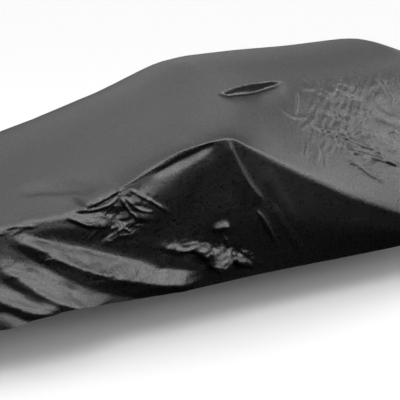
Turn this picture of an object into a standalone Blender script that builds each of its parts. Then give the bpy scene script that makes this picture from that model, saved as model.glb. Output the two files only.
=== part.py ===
"""A one-piece cloth car cover, hollow, hanging from its roof area as it lies over a car.

Metres, +X towards the rear of the cover, -Y the near side, +Z up. The tables give heights above the
ground and lengths from the front axle. The finished cloth is moved so that the origin is the point
under the roof where the cover is held.
"""

import bmesh
import bpy
import numpy as np
from mathutils import Vector

# Where the cover is held: under the middle of its roof, in the tables' lengths and heights.
HELD_X = 1.95
HELD_Z = 1.40

CLOTH_THICKNESS = 0.003

# Each section of the cover, from the front hem over the roof to the rear hem. A section crosses the
# cover from hem to hem. side_x is where it meets the side hem, mid_x where it crosses the middle.
# The other columns are the height of the middle, then how far out (y) and how high (z) the section
# is at the rail along the roof, at the belt line, at the taut ridge of the mirror tent and at the
# hem, then the far side's ridge. soft is how softly the ridge turns, cells the rows to the next one.
SECTION_COLUMNS = (
    "side_x", "mid_x", "mid_z", "rail_y", "rail_z", "belt_y", "belt_z", "ridge_y", "ridge_z",
    "hem_y", "hem_z", "far_ridge_y", "far_ridge_z", "soft", "cells",
)
SECTIONS = (
    (-0.44, -0.83, 0.24, 0.50, 0.24, 0.62, 0.24, 0.71, 0.24, 0.80, 0.25, 0.71, 0.24, 0.14, 3),
    (-0.41, -0.88, 0.46, 0.50, 0.46, 0.65, 0.45, 0.77, 0.44, 0.84, 0.25, 0.77, 0.44, 0.14, 2),
    (-0.37, -0.85, 0.67, 0.50, 0.66, 0.68, 0.65, 0.81, 0.62, 0.88, 0.26, 0.81, 0.62, 0.12, 2),
    (-0.32, -0.70, 0.75, 0.51, 0.73, 0.72, 0.72, 0.84, 0.70, 0.91, 0.27, 0.84, 0.69, 0.09, 3),
    (-0.24, -0.42, 0.82, 0.53, 0.78, 0.74, 0.76, 0.85, 0.74, 0.95, 0.28, 0.85, 0.72, 0.05, 6),
    (-0.09, -0.15, 0.905, 0.54, 0.84, 0.75, 0.79, 0.865, 0.755, 0.96, 0.31, 0.865, 0.74, 0.04, 7),
    (0.11, 0.11, 0.980, 0.55, 0.90, 0.75, 0.82, 0.875, 0.772, 0.955, 0.323, 0.875, 0.77, 0.035, 9),
    (0.36, 0.36, 1.057, 0.56, 0.965, 0.76, 0.89, 0.885, 0.855, 0.895, 0.278, 0.89, 0.83, 0.02, 6),
    (0.52, 0.52, 1.108, 0.56, 1.005, 0.77, 0.95, 0.90, 0.953, 0.885, 0.27, 0.90, 0.875, 0.012, 5),
    (0.68, 0.68, 1.160, 0.57, 1.05, 0.79, 0.995, 0.93, 1.028, 0.885, 0.265, 0.91, 0.92, 0.01, 3),
    (0.79, 0.79, 1.196, 0.57, 1.08, 0.81, 1.024, 0.97, 1.062, 0.885, 0.265, 0.92, 0.945, 0.01, 3),
    (0.92, 0.92, 1.238, 0.57, 1.13, 0.83, 1.062, 1.02, 1.088, 0.885, 0.265, 0.93, 0.965, 0.01, 3),
    (1.00, 1.00, 1.270, 0.57, 1.165, 0.82, 1.068, 1.01, 1.047, 0.885, 0.268, 0.93, 0.965, 0.015, 5),
    (1.21, 1.21, 1.366, 0.57, 1.243, 0.80, 1.075, 1.00, 0.937, 0.885, 0.272, 0.93, 0.93, 0.025, 3),
    (1.37, 1.37, 1.393, 0.58, 1.268, 0.82, 1.00, 0.995, 0.855, 0.885, 0.272, 0.93, 0.88, 0.03, 5),
    (1.74, 1.74, 1.411, 0.59, 1.29, 0.82, 0.93, 0.99, 0.673, 0.885, 0.268, 0.93, 0.70, 0.03, 4),
    (2.15, 2.15, 1.421, 0.59, 1.30, 0.79, 0.92, 0.97, 0.511, 0.885, 0.267, 0.93, 0.56, 0.035, 4),
    (2.60, 2.60, 1.450, 0.58, 1.32, 0.81, 0.93, 0.945, 0.42, 0.88, 0.27, 0.92, 0.46, 0.06, 3),
    (2.90, 2.90, 1.356, 0.56, 1.25, 0.85, 0.95, 0.925, 0.41, 0.88, 0.275, 0.915, 0.43, 0.09, 3),
    (3.08, 3.22, 1.262, 0.54, 1.18, 0.85, 0.96, 0.915, 0.43, 0.88, 0.28, 0.905, 0.44, 0.11, 3),
    (3.22, 3.50, 1.165, 0.52, 1.09, 0.79, 0.96, 0.89, 0.46, 0.87, 0.28, 0.88, 0.46, 0.13, 2),
    (3.30, 3.62, 1.04, 0.51, 0.98, 0.74, 0.86, 0.85, 0.50, 0.85, 0.28, 0.85, 0.50, 0.14, 4),
    (3.35, 3.68, 0.62, 0.50, 0.61, 0.67, 0.56, 0.78, 0.46, 0.82, 0.28, 0.78, 0.46, 0.14, 3),
    (3.38, 3.64, 0.27, 0.48, 0.27, 0.60, 0.27, 0.70, 0.27, 0.79, 0.27, 0.70, 0.27, 0.14, 0),
)

# How softly a column bends from section to section, in metres along the cloth.
SECTION_REACH = {
    "side_x": 0.14, "mid_x": 0.10, "mid_z": 0.05, "rail_y": 0.20, "rail_z": 0.14, "belt_y": 0.16,
    "belt_z": 0.16, "ridge_y": 0.05, "ridge_z": 0.05, "hem_y": 0.10, "hem_z": 0.08,
    "far_ridge_y": 0.20, "far_ridge_z": 0.20, "soft": 0.10, "cells": 0.0,
}

# Stops across half a section from its middle (0) to its hem (1): how softly the cloth bends there,
# and the rows of cells from that stop to the next one out, on the near side and on the far side. The
# near skirt's rows follow its folds instead.
ACROSS_COLUMNS = ("place", "reach", "near_cells", "far_cells")
ACROSS = (
    (0.00, 0.10, 2, 1),
    (0.15, 0.10, 1, 2),
    (0.30, 0.09, 2, 1),
    (0.46, 0.09, 3, 1),
    (0.62, 0.03, 0, 2),
    (0.80, 0.07, 0, 2),
    (1.00, 0.00, 0, 0),
)
# The near skirt's rows of cells lean the way its folds run: one row lies along the upper corner fold
# and one along the middle one. How far down from the ridge (0) to the hem (1) each of them lies, by
# length from the front axle, and the rows of cells above, between and below them.
FOLD_ROWS = (
    (-0.43, 0.40, 0.70),
    (-0.32, 0.20, 0.52),
    (-0.24, 0.12, 0.54),
    (-0.09, 0.32, 0.75),
    (0.11, 0.56, 0.88),
    (0.36, 0.75, 0.92),
    (0.68, 0.88, 0.95),
    (0.84, 0.74, 0.87),
    (1.00, 0.50, 0.75),
)
SKIRT_CELLS = (7, 3, 4)
RIDGE_STOP = 4
RIDGE_WIDTH = 0.16
FAR_RIDGE_REACH = 0.07
BOW_POWER = 3.0
SMOOTHING_TAPS = 9
# How far the crown drops on its way to the rail, and how far the skirt has come in halfway down it.
CROWN_DROP = 0.25
BELLY_SHARE = 0.25
FOLD_RISE = 0.25
FOLD_FALL = 0.25
FOLD_STEPS = 16
# Places across the cloth where the side folds begin, and where the roof folds end at the middle line
# and at the ridge, each with the width over which they do.
SIDE_FOLDS_FROM = (-0.45, 0.12)
TOP_FOLDS_FROM = (0.0, 0.1)
TOP_FOLDS_TO = (-0.62, 0.05)
SMALLEST_LENGTH = 1e-9

# Each main fold: where it starts, bends and ends, how wide its faces are to the left and right of
# that path, and how far its crest stands out. Side folds are seen square to the near side (length
# from the front axle, height). Roof folds are seen from above (length, distance out on -Y).
FOLD_COLUMNS = ("start", "bend", "end", "left", "right", "stands_out")
SIDE_FOLDS = {
    "upper_corner_fold": ((-0.24, 0.70), (0.14, 0.505), (0.74, 0.325), 0.095, 0.055, 0.055),
    "middle_corner_fold": ((-0.34, 0.55), (-0.10, 0.43), (0.32, 0.33), 0.10, 0.055, 0.050),
    "lower_corner_fold": ((-0.36, 0.42), (-0.17, 0.35), (0.06, 0.315), 0.07, 0.04, 0.030),
    "mirror_fold": ((0.91, 1.06), (1.05, 0.86), (1.17, 0.68), 0.07, 0.05, 0.022),
    "door_fold": ((0.50, 0.57), (0.78, 0.50), (1.06, 0.38), 0.12, 0.09, 0.026),
    "ridge_shelf": ((0.46, 0.80), (0.73, 0.885), (0.90, 1.03), 0.08, 0.10, 0.030),
}
TOP_FOLDS = {
    "roof_edge_dent": ((1.15, -0.56), (1.38, -0.62), (1.66, -0.64), 0.05, 0.09, -0.022),
    "bonnet_edge_dent": ((-0.12, -0.74), (0.14, -0.76), (0.42, -0.76), 0.09, 0.07, -0.016),
}


def soft_line(at, stops, values, reach):
    """Read a column between its stops along straight runs, with every bend rounded over the reach."""
    at = np.asarray(at, float)
    room = np.minimum(at - stops[0], stops[-1] - at)
    reach = np.clip(np.minimum(reach, room), 0.0, None)
    total = np.zeros_like(at)
    weight_sum = 0.0
    for tap in np.linspace(-1.0, 1.0, SMOOTHING_TAPS + 2)[1:-1]:
        weight = 1.0 - abs(tap)
        total += weight * np.interp(at + tap * reach, stops, values)
        weight_sum += weight
    return total / weight_sum


def stepped_positions(stops, cells):
    """Even steps between the stops, as many as the cells say."""
    runs = [np.linspace(stops[i], stops[i + 1], int(cells[i]), endpoint=False) for i in range(len(stops) - 1)]
    return np.concatenate(runs + [[stops[-1]]])


def section_table():
    """The columns of the sections by name, and each section's place along the middle line."""
    table = {name: np.array(column) for name, column in zip(SECTION_COLUMNS, zip(*SECTIONS))}
    steps = np.hypot(np.diff(table["mid_x"]), np.diff(table["mid_z"]))
    along = np.concatenate([[0.0], np.cumsum(steps)])
    return table, along


def half_section(column, side):
    """The stops of one half of every section, from the middle to the hem, as out and up distances."""
    ridge_y = column["ridge_y"] if side < 0 else column["far_ridge_y"]
    ridge_z = column["ridge_z"] if side < 0 else column["far_ridge_z"]
    crown_z = column["mid_z"] - CROWN_DROP * (column["mid_z"] - column["rail_z"])
    out = [0.0 * ridge_y, 0.5 * column["rail_y"], column["rail_y"], column["belt_y"], ridge_y]
    up = [column["mid_z"], crown_z, column["rail_z"], column["belt_z"], ridge_z]
    out += [ridge_y + BELLY_SHARE * (column["hem_y"] - ridge_y), column["hem_y"]]
    up += [0.5 * (ridge_z + column["hem_z"]), column["hem_z"]]
    return np.array(out), np.array(up)


def across_column(name):
    """One column of the stops across half a section."""
    return np.array([row[ACROSS_COLUMNS.index(name)] for row in ACROSS], float)


def places_across(along):
    """Places of the cells across each section. The near skirt's rows lean the way its folds run."""
    table, stops = section_table()
    side_x = soft_line(along, stops, table["side_x"], SECTION_REACH["side_x"])
    starts, upper, middle = zip(*FOLD_ROWS)
    place = across_column("place")
    ridge = place[RIDGE_STOP]
    top_cells = across_column("near_cells")[RIDGE_STOP - 1 :: -1]
    near_top = stepped_positions(-place[RIDGE_STOP::-1], top_cells)
    far = stepped_positions(place, across_column("far_cells"))
    rows = []
    for x in side_x:
        fold_stops = (0.0, np.interp(x, starts, upper), np.interp(x, starts, middle), 1.0)
        down = stepped_positions(fold_stops, SKIRT_CELLS)
        skirt = -ridge - down[:0:-1] * (1.0 - ridge)
        rows.append(np.concatenate([skirt, near_top[:-1], far]))
    return np.array(rows)


def bend_reach(across, places, ridge_softness):
    """How softly the cloth bends at each place across each section."""
    near = across_column("reach")
    far = near.copy()
    near[RIDGE_STOP] = 0.0
    far[RIDGE_STOP] = FAR_RIDGE_REACH
    reach = np.interp(across, places, np.concatenate([near[:0:-1], far]))
    ridge = across_column("place")[RIDGE_STOP]
    closeness = 1.0 - np.clip(np.abs(np.abs(across) - ridge) / RIDGE_WIDTH, 0.0, 1.0)
    reach = np.maximum(reach, ridge_softness[:, None] * closeness)
    return np.minimum(reach, 1.0 - np.abs(across))


def pick(stops, index):
    """For every section, the value of the stop that each place across it calls for."""
    return np.take_along_axis(stops.T, index, axis=1)


def cloth_surface(along, across):
    """Points of the draped cloth for places along it and across it, before its folds."""
    table, stops = section_table()
    column = {name: soft_line(along, stops, table[name], SECTION_REACH[name]) for name in table}
    near_out, near_up = half_section(column, -1)
    far_out, far_up = half_section(column, 1)
    out = np.concatenate([-near_out[:0:-1], far_out])
    up = np.concatenate([near_up[:0:-1], far_up])
    half = across_column("place")
    places = np.concatenate([-half[:0:-1], half])
    reach = bend_reach(across, places, column["soft"])
    y = np.zeros_like(across)
    z = np.zeros_like(across)
    weight_sum = 0.0
    for tap in np.linspace(-1.0, 1.0, SMOOTHING_TAPS + 2)[1:-1]:
        weight = 1.0 - abs(tap)
        place = across + tap * reach
        inner = np.clip(np.searchsorted(places, place, side="right") - 1, 0, len(places) - 2)
        part = (place - places[inner]) / (places[inner + 1] - places[inner])
        y += weight * (pick(out, inner) * (1.0 - part) + pick(out, inner + 1) * part)
        z += weight * (pick(up, inner) * (1.0 - part) + pick(up, inner + 1) * part)
        weight_sum += weight
    bow = 1.0 - np.abs(across) ** BOW_POWER
    x = column["side_x"][:, None] + (column["mid_x"] - column["side_x"])[:, None] * bow
    return np.stack([x, y / weight_sum, z / weight_sum], axis=-1)


def outward_directions(points):
    """Unit directions square to the cloth and away from its hollow."""
    run_along = np.gradient(points, axis=0)
    run_across = np.gradient(points, axis=1)
    facing = np.cross(run_along, run_across)
    length = np.linalg.norm(facing, axis=-1, keepdims=True)
    return facing / np.maximum(length, SMALLEST_LENGTH)


def ease(value):
    """A smooth step from 0 to 1."""
    value = np.clip(value, 0.0, 1.0)
    return value * value * (3.0 - 2.0 * value)


def fold_path(start, bend, end):
    """A smooth path that leaves start, passes bend and arrives at end."""
    t = np.linspace(0.0, 1.0, FOLD_STEPS)[:, None]
    start, bend, end = np.array(start), np.array(bend), np.array(end)
    pull = 2.0 * bend - 0.5 * (start + end)
    return (1.0 - t) ** 2 * start + 2.0 * t * (1.0 - t) * pull + t * t * end


def beside_path(flat, path):
    """For flat points: how far along the path (0 to 1) and how far to its left each one lies."""
    best = np.full(flat.shape[:-1], np.inf)
    part = np.zeros_like(best)
    left = np.zeros_like(best)
    runs = len(path) - 1
    for index in range(runs):
        run = path[index + 1] - path[index]
        length = np.hypot(*run)
        offset = flat - path[index]
        t = np.clip((offset @ run) / length**2, 0.0, 1.0)
        away = offset - t[..., None] * run
        distance = np.linalg.norm(away, axis=-1)
        side = run[0] * away[..., 1] - run[1] * away[..., 0]
        closer = distance < best
        best = np.where(closer, distance, best)
        part = np.where(closer, (index + t) / runs, part)
        left = np.where(closer, np.copysign(distance, side), left)
    return part, left


def fold_height(flat, fold):
    """How far one fold lifts each flat point, from nothing at its sides and ends to its crest."""
    row = dict(zip(FOLD_COLUMNS, fold))
    part, left = beside_path(flat, fold_path(row["start"], row["bend"], row["end"]))
    width = np.where(left > 0.0, row["left"], row["right"])
    crest = 1.0 - ease(np.abs(left) / width)
    return row["stands_out"] * crest * ease(part / FOLD_RISE) * ease((1.0 - part) / FOLD_FALL)


def folded_surface(along, across):
    """The draped cloth with its main folds."""
    points = cloth_surface(along, across)
    lift = np.zeros(points.shape[:2])
    near_side = ease((SIDE_FOLDS_FROM[0] - across) / SIDE_FOLDS_FROM[1])
    near_top = ease((across - TOP_FOLDS_TO[0]) / TOP_FOLDS_TO[1])
    near_top *= ease((TOP_FOLDS_FROM[0] - across) / TOP_FOLDS_FROM[1])
    for fold in SIDE_FOLDS.values():
        lift += near_side * fold_height(points[..., [0, 2]], fold)
    for fold in TOP_FOLDS.values():
        lift += near_top * fold_height(points[..., [0, 1]], fold)
    return points + lift[..., None] * outward_directions(points)


def cloth_mesh(name):
    """The outer face of the cloth, in triangles whose long edges run down and back as its folds do."""
    table, stops = section_table()
    along = stepped_positions(stops, table["cells"])
    held_at = np.array([HELD_X, 0.0, HELD_Z])
    points = folded_surface(along, places_across(along)) - held_at
    sheet = bmesh.new()
    corners = [[sheet.verts.new(Vector(point)) for point in row] for row in points]
    for row, next_row in zip(corners, corners[1:]):
        for a, b, c, d in zip(row, next_row, next_row[1:], row[1:]):
            sheet.faces.new((a, b, d))
            sheet.faces.new((b, c, d))
    mesh = bpy.data.meshes.new(name)
    sheet.to_mesh(mesh)
    sheet.free()
    mesh.shade_smooth()
    return mesh


def cloth_material():
    """Dark grey coated cloth with a soft gloss."""
    material = bpy.data.materials.new("dark_grey_cloth")
    material.use_nodes = True
    surface = material.node_tree.nodes["Principled BSDF"]
    surface.inputs["Base Color"].default_value = (0.030, 0.031, 0.033, 1.0)
    surface.inputs["Roughness"].default_value = 0.55
    surface.inputs["Metallic"].default_value = 0.0
    return material


def build_cover():
    """The cover as one closed sheet with its thickness on the inside."""
    mesh = cloth_mesh("cover_cloth")
    cover = bpy.data.objects.new("cover_cloth", mesh)
    bpy.context.scene.collection.objects.link(cover)
    mesh.materials.append(cloth_material())
    thickness = cover.modifiers.new("cloth_thickness", "SOLIDIFY")
    thickness.thickness = CLOTH_THICKNESS
    thickness.offset = -1.0
    thickness.use_rim = True
    return cover


def main():
    for item in list(bpy.data.objects):
        bpy.data.objects.remove(item, do_unlink=True)
    build_cover()


main()
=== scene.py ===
# %% [markdown]
# # A draped car cover
#
# This notebook makes one large piece of cloth: a loose, dark grey car cover, as it hangs in use.
# Nothing but the cloth is built, so every bump in it has to say what lies underneath. The plan is to
# draw the draped form from a short table of cross sections, to lay the folds over it one by one, and
# to finish the cloth with a soft gloss and a fine weave.

import bmesh
import bpy
import numpy as np
from mathutils import Matrix


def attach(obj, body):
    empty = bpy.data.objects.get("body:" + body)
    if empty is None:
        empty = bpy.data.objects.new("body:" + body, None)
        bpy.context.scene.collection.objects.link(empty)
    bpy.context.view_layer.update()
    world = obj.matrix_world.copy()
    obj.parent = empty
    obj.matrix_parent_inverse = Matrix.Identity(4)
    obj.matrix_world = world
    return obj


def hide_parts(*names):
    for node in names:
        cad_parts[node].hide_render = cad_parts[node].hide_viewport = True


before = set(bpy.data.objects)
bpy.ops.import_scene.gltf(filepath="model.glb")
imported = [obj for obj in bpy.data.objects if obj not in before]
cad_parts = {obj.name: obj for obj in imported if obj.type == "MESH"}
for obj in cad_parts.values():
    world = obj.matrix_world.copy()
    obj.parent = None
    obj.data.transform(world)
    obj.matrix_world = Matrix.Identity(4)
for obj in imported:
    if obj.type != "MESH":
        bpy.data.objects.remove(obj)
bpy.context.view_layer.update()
scene = bpy.context.scene

# %% [markdown]
# ## The camera
#
# The camera comes first, because every fold is judged through it. It stands a little above eye
# height, ahead of the cover's front corner and about six metres from its middle, with a long lens. A
# long lens keeps the far end of the cover from shrinking. The camera's turn is written as a heading
# and a drop, since those are the two numbers a photographer would change.

# %% Camera at the photograph's angle
CAMERA_PLACE = (-3.4437, -4.7453, 0.5070)
CAMERA_HEADING = 30.927
CAMERA_DROP = 14.489
SENSOR_WIDTH = 36.0
LENS = 81.0

camera_data = bpy.data.cameras.new("view_camera")
camera_data.lens = LENS
camera_data.sensor_width = SENSOR_WIDTH
camera = bpy.data.objects.new("view_camera", camera_data)
scene.collection.objects.link(camera)
camera.location = CAMERA_PLACE
camera.rotation_euler = (np.radians(90.0 - CAMERA_DROP), 0.0, np.radians(-CAMERA_HEADING))
scene.camera = camera
print("camera lens", LENS, "mm, heading", CAMERA_HEADING, "degrees, drop", CAMERA_DROP, "degrees")

# %% [markdown]
# ## The draped form as cross sections
#
# A cover has no drawn outline of its own: it takes the form of what is below it. One way to make it
# would be to drop a flat sheet over a dummy body and let Blender's cloth simulation settle it. That
# gives lively cloth, but the main lines land where they like. Here they have to land in known places,
# so the form is lofted. Each row of the table is one section from hem to hem, with the height of
# the middle and then how far out and how high the cloth is at the roof rail, at the belt line, at
# the taut ridge that runs up to the mirror, and at the hem. Heights start at the ground, and lengths
# 0.9 metres behind the tip of the nose. The finished cloth is moved to its frame, whose origin is
# where the roof holds it up.

# %% The section table
# The frame's origin, in the lengths and heights of the table.
HELD_AT = np.array([1.95, 0.0, 1.40])
SECTION_COLUMNS = (
    "side_x", "mid_x", "mid_z", "rail_y", "rail_z", "belt_y", "belt_z", "ridge_y", "ridge_z",
    "hem_y", "hem_z", "far_ridge_y", "far_ridge_z", "soft",
)
SECTIONS = (
    (-0.44, -0.83, 0.24, 0.50, 0.24, 0.62, 0.24, 0.71, 0.24, 0.80, 0.25, 0.71, 0.24, 0.14),
    (-0.41, -0.88, 0.46, 0.50, 0.46, 0.65, 0.45, 0.77, 0.44, 0.84, 0.25, 0.77, 0.44, 0.14),
    (-0.37, -0.85, 0.67, 0.50, 0.66, 0.68, 0.65, 0.81, 0.62, 0.88, 0.26, 0.81, 0.62, 0.12),
    (-0.32, -0.70, 0.75, 0.51, 0.73, 0.72, 0.72, 0.84, 0.70, 0.91, 0.27, 0.84, 0.69, 0.09),
    (-0.24, -0.42, 0.82, 0.53, 0.78, 0.74, 0.76, 0.85, 0.74, 0.95, 0.28, 0.85, 0.72, 0.05),
    (-0.09, -0.15, 0.905, 0.54, 0.84, 0.75, 0.79, 0.865, 0.755, 0.96, 0.31, 0.865, 0.74, 0.04),
    (0.11, 0.11, 0.980, 0.55, 0.90, 0.75, 0.82, 0.875, 0.772, 0.955, 0.323, 0.875, 0.77, 0.035),
    (0.36, 0.36, 1.057, 0.56, 0.965, 0.76, 0.89, 0.885, 0.855, 0.895, 0.278, 0.89, 0.83, 0.04),
    (0.52, 0.52, 1.108, 0.56, 1.005, 0.77, 0.95, 0.90, 0.953, 0.885, 0.27, 0.90, 0.875, 0.035),
    (0.68, 0.68, 1.160, 0.57, 1.05, 0.79, 0.995, 0.93, 1.028, 0.885, 0.265, 0.91, 0.92, 0.01),
    (0.79, 0.79, 1.196, 0.57, 1.08, 0.81, 1.024, 0.97, 1.062, 0.885, 0.265, 0.92, 0.945, 0.01),
    (0.92, 0.92, 1.238, 0.57, 1.13, 0.83, 1.062, 1.02, 1.088, 0.885, 0.265, 0.93, 0.965, 0.01),
    (1.00, 1.00, 1.270, 0.57, 1.165, 0.82, 1.068, 1.01, 1.047, 0.885, 0.268, 0.93, 0.965, 0.015),
    (1.21, 1.21, 1.366, 0.57, 1.243, 0.80, 1.075, 1.00, 0.937, 0.885, 0.272, 0.93, 0.93, 0.025),
    (1.37, 1.37, 1.393, 0.58, 1.268, 0.82, 1.00, 0.995, 0.855, 0.885, 0.272, 0.93, 0.88, 0.03),
    (1.74, 1.74, 1.411, 0.59, 1.29, 0.82, 0.93, 0.99, 0.673, 0.885, 0.268, 0.93, 0.70, 0.03),
    (2.15, 2.15, 1.421, 0.59, 1.30, 0.79, 0.92, 0.97, 0.511, 0.885, 0.267, 0.93, 0.56, 0.035),
    (2.60, 2.60, 1.450, 0.58, 1.32, 0.81, 0.93, 0.945, 0.42, 0.88, 0.27, 0.92, 0.46, 0.06),
    (2.90, 2.90, 1.356, 0.56, 1.25, 0.85, 0.95, 0.925, 0.41, 0.88, 0.275, 0.915, 0.43, 0.09),
    (3.08, 3.22, 1.262, 0.54, 1.18, 0.85, 0.96, 0.915, 0.43, 0.88, 0.28, 0.905, 0.44, 0.11),
    (3.22, 3.50, 1.165, 0.52, 1.09, 0.79, 0.96, 0.89, 0.46, 0.87, 0.28, 0.88, 0.46, 0.13),
    (3.30, 3.62, 1.04, 0.51, 0.98, 0.74, 0.86, 0.85, 0.50, 0.85, 0.28, 0.85, 0.50, 0.14),
    (3.35, 3.68, 0.62, 0.50, 0.61, 0.67, 0.56, 0.78, 0.46, 0.82, 0.28, 0.78, 0.46, 0.14),
    (3.38, 3.64, 0.27, 0.48, 0.27, 0.60, 0.27, 0.70, 0.27, 0.79, 0.27, 0.70, 0.27, 0.14),
)
# How softly a column bends from section to section, in metres along the cloth.
SECTION_REACH = {
    "side_x": 0.14, "mid_x": 0.10, "mid_z": 0.05, "rail_y": 0.20, "rail_z": 0.14, "belt_y": 0.16,
    "belt_z": 0.16, "ridge_y": 0.05, "ridge_z": 0.05, "hem_y": 0.10, "hem_z": 0.08,
    "far_ridge_y": 0.20, "far_ridge_z": 0.20, "soft": 0.10,
}


def named_columns(names, rows):
    """A table's rows as one array of numbers for each named column."""
    return {name: np.array(column, float) for name, column in zip(names, zip(*rows))}


def running_total(steps):
    """How far one has come after each step, starting from nothing."""
    return np.concatenate([[0.0], np.cumsum(steps)])


section = named_columns(SECTION_COLUMNS, SECTIONS)
section_along = running_total(np.hypot(np.diff(section["mid_x"]), np.diff(section["mid_z"])))
print(len(SECTIONS), "sections along", round(float(section_along[-1]), 2), "metres of cloth")

# %% [markdown]
# ## Reading the table smoothly
#
# Straight lines from section to section would leave kinks. A spline would remove them, but splines
# overshoot next to a sharp change. Averaging the straight reading over a short reach rounds each
# bend by a known amount and never overshoots, so the taut ridge can stay nearly sharp while the roof
# turns slowly.

# %% Helpers that read a column and a half section
SMOOTHING_TAPS = 9
# How much of the fall from the middle to the roof rail is done halfway out to it.
CROWN_DROP = 0.25
# How much of the way out from the ridge to the hem is done at half the height between them.
BELLY_SHARE = 0.25


def taps():
    """Places and weights of the samples that one rounded reading averages."""
    places = np.linspace(-1.0, 1.0, SMOOTHING_TAPS + 2)[1:-1]
    weights = 1.0 - np.abs(places)
    return list(zip(places, weights / weights.sum()))


def soft_line(at, stops, values, reach):
    """Read a column between its stops along straight runs, with every bend rounded over the reach."""
    at = np.asarray(at, float)
    room = np.minimum(at - stops[0], stops[-1] - at)
    reach = np.clip(np.minimum(reach, room), 0.0, None)
    return sum(weight * np.interp(at + tap * reach, stops, values) for tap, weight in taps())


def half_section(column, ridge):
    """Every section's stops from the middle to the hem past one of its ridges, out and up."""
    ridge_y, ridge_z = column[ridge + "_y"], column[ridge + "_z"]
    crown_z = column["mid_z"] - CROWN_DROP * (column["mid_z"] - column["rail_z"])
    out = [0.0 * ridge_y, 0.5 * column["rail_y"], column["rail_y"], column["belt_y"], ridge_y]
    up = [column["mid_z"], crown_z, column["rail_z"], column["belt_z"], ridge_z]
    out += [ridge_y + BELLY_SHARE * (column["hem_y"] - ridge_y), column["hem_y"]]
    up += [0.5 * (ridge_z + column["hem_z"]), column["hem_z"]]
    return np.array(out), np.array(up)


print("a reading averages", SMOOTHING_TAPS, "samples")

# %% [markdown]
# ## Where the cloth needs small cells
#
# A cover is huge next to its creases. Cells of four millimetres all over would need a million faces.
# So the sheet starts as a coarse grid, and the faces are split in four only where the creases are,
# and once more where they are finest: Subdivision in the sculptor's sense, kept to a few zones. The
# grid lives in the cloth's own two directions, along and across, and the form is read from those.

# %% Cells along and across the cloth
# The longest that a cell may be on the near side, read between these lengths, and on the middle line.
SIDE_CELLS = ((-0.44, 0.018), (1.45, 0.018), (1.60, 0.026), (2.60, 0.026), (2.80, 0.050), (3.38, 0.050))
MIDDLE_CELL = 0.070
# How many readings along the cloth the cells are counted from.
CELL_READINGS = 4001
# Stops across half a section from its middle (0) to its hem (1): how softly the cloth bends there,
# and the rows of cells from that stop to the next one out, on the near side and on the far side.
RIDGE_PLACE = 0.62
ACROSS_COLUMNS = ("place", "near_reach", "far_reach", "near_cells", "far_cells")
ACROSS = (
    (0.00, 0.10, 0.10, 5, 4),
    (0.15, 0.10, 0.10, 14, 4),
    (0.30, 0.09, 0.09, 12, 6),
    (0.46, 0.09, 0.09, 12, 8),
    (RIDGE_PLACE, 0.00, 0.07, 18, 10),
    (0.80, 0.07, 0.07, 18, 10),
    (1.00, 0.00, 0.00, 0, 0),
)
# Zones of the near side (middle and half sizes, as length and height) whose faces are split in four.
SPLIT_ZONES = {
    "near_skirt": ((0.46, 0.56), (0.94, 0.56)),
    "rear_window": ((1.96, 1.01), (0.56, 0.34)),
    "roof_edge": ((1.36, 1.22), (0.30, 0.10)),
}
SPLIT_AGAIN_ZONES = {
    "pinch": ((0.33, 0.745), (0.24, 0.12)),
    "pouch": ((0.91, 0.46), (0.22, 0.11)),
    "mirror_fold_top": ((0.97, 0.95), (0.06, 0.11)),
    "mirror_fold_end": ((1.10, 0.74), (0.09, 0.11)),
    "window_creases": ((1.92, 1.02), (0.46, 0.31)),
    "roof_edge_wall": ((1.36, 1.235), (0.27, 0.065)),
}
# Across the cloth, only what lies past this on the near side is split.
SPLIT_FROM = -0.18
across_table = named_columns(ACROSS_COLUMNS, ACROSS)


def stepped_positions(stops, cells):
    """Even steps between the stops, as many as the cells say."""
    runs = [np.linspace(a, b, int(n), endpoint=False) for a, b, n in zip(stops, stops[1:], cells)]
    return np.concatenate(runs + [[stops[-1]]])


def hem_to_hem(near, far):
    """The near half turned round and joined to the far half at the middle that they share."""
    return np.concatenate([near[:0:-1], far])


def columns_along():
    """Positions along the cloth, closer together where the near side or the middle needs them."""
    fine = np.linspace(0.0, section_along[-1], CELL_READINGS)
    side_x = soft_line(fine, section_along, section["side_x"], SECTION_REACH["side_x"])
    side_need = np.abs(np.gradient(side_x, fine)) / np.interp(side_x, *np.array(SIDE_CELLS).T)
    need = np.maximum(side_need, 1.0 / MIDDLE_CELL)
    count = running_total(0.5 * (need[1:] + need[:-1]) * np.diff(fine))
    return np.interp(np.linspace(0.0, count[-1], int(count[-1]) + 1), count, fine)


cell_along = columns_along()
near_half = stepped_positions(across_table["place"], across_table["near_cells"])
far_half = stepped_positions(across_table["place"], across_table["far_cells"])
cell_across = hem_to_hem(-near_half, far_half)
print("grid of", len(cell_along), "by", len(cell_across), "points")

# %% [markdown]
# ## Lofting the sheet
#
# Every point is now read from the table: first its place along the cloth, then its place across the
# section that passes there. A skin modifier or a loft of curves could do this too, but a formula
# keeps the points in our hands, and the folds that follow need to know where each point lies.

# %% The smooth draped sheet
# How far from the ridge, across, a section's own softness still counts.
RIDGE_WIDTH = 0.16
# At the nose and the tail a section bows out in the middle. A high power keeps the bow flat there.
BOW_POWER = 3.0


def bend_reach(across, places, ridge_softness):
    """How softly the cloth bends at each place across its section."""
    reach_table = hem_to_hem(across_table["near_reach"], across_table["far_reach"])
    reach = np.interp(across, places, reach_table)
    closeness = 1.0 - np.clip(np.abs(np.abs(across) - RIDGE_PLACE) / RIDGE_WIDTH, 0.0, 1.0)
    reach = np.maximum(reach, ridge_softness * closeness)
    return np.minimum(reach, 1.0 - np.abs(across))


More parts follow.
